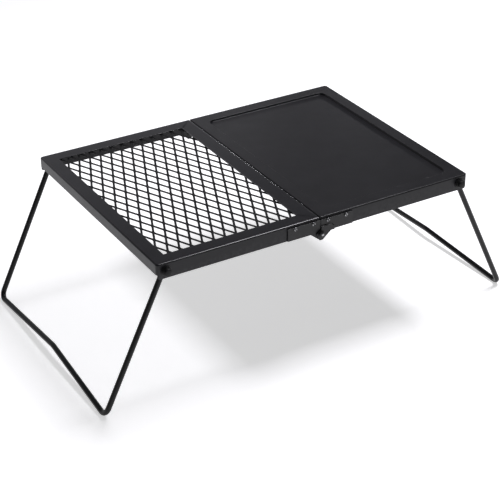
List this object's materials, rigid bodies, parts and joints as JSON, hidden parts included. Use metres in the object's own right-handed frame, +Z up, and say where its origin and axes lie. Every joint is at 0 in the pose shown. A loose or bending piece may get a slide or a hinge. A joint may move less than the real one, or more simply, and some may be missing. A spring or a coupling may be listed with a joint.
{
  "type": "folding camp grill",
  "caption": "Low folding camp grill table: one expanded-mesh half and one griddle half, hinged in the middle, on two fold-flat U legs of round rod.",
  "frame": {"origin": "on the ground, under the middle of the table top", "axes": "+X along the table from the mesh half to the griddle half, -Y towards the front, +Z up"},
  "size_m": [0.8052, 0.4622, 0.2563],
  "materials": {
    "frame_paint": "satin black high-temperature paint on bent steel angle",
    "mesh_paint": "satin black high-temperature paint on expanded steel mesh",
    "griddle_paint": "satin black high-temperature paint on pressed sheet",
    "leg_paint": "satin black paint on bent round rod",
    "hinge_paint": "satin black paint on stamped hinge leaves",
    "fasteners": "semi-gloss black on rivets, pins and washers",
    "end_caps": "dull black push-on caps"
  },
  "bodies": {
    "mesh_half": {"mesh_half_front_rail": "frame_paint", "mesh_half_back_rail": "frame_paint", "mesh_half_end_rail": "frame_paint", "mesh_half_seam_rail": "frame_paint", "expanded_mesh": "mesh_paint", "front_mesh_hinge_leaf": "hinge_paint", "front_mesh_leaf_rivet_1": "fasteners", "front_mesh_leaf_rivet_2": "fasteners", "front_hinge_pin": "fasteners", "front_hinge_pin_washer": "fasteners", "back_mesh_hinge_leaf": "hinge_paint", "back_mesh_leaf_rivet_1": "fasteners", "back_mesh_leaf_rivet_2": "fasteners", "back_hinge_pin": "fasteners", "back_hinge_pin_washer": "fasteners"},
    "griddle_half": {"griddle_half_front_rail": "frame_paint", "griddle_half_back_rail": "frame_paint", "griddle_half_end_rail": "frame_paint", "griddle_half_seam_rail": "frame_paint", "griddle_plate": "griddle_paint", "front_griddle_hinge_leaf": "hinge_paint", "front_griddle_leaf_rivet_1": "fasteners", "front_griddle_leaf_rivet_2": "fasteners", "back_griddle_hinge_leaf": "hinge_paint", "back_griddle_leaf_rivet_1": "fasteners", "back_griddle_leaf_rivet_2": "fasteners"},
    "left_leg": {"left_leg_rod": "leg_paint", "left_leg_front_washer": "fasteners", "left_leg_front_cap": "end_caps", "left_leg_back_washer": "fasteners", "left_leg_back_cap": "end_caps"},
    "right_leg": {"right_leg_rod": "leg_paint", "right_leg_front_washer": "fasteners", "right_leg_front_cap": "end_caps", "right_leg_back_washer": "fasteners", "right_leg_back_cap": "end_caps"}
  },
  "joints": [
    {"name": "middle_fold", "type": "hinge", "parent": "mesh_half", "child": "griddle_half", "pos_m": [0, 0, 0.22794], "axis": [0, 1, 0], "range_deg": [0, 115]},
    {"name": "left_leg_fold", "type": "hinge", "parent": "mesh_half", "child": "left_leg", "pos_m": [-0.2838, 0, 0.24284], "axis": [0, -1, 0], "range_deg": [0, 115.6]},
    {"name": "right_leg_fold", "type": "hinge", "parent": "griddle_half", "child": "right_leg", "pos_m": [0.2838, 0, 0.24284], "axis": [0, 1, 0], "range_deg": [0, 115.6]}
  ]
}
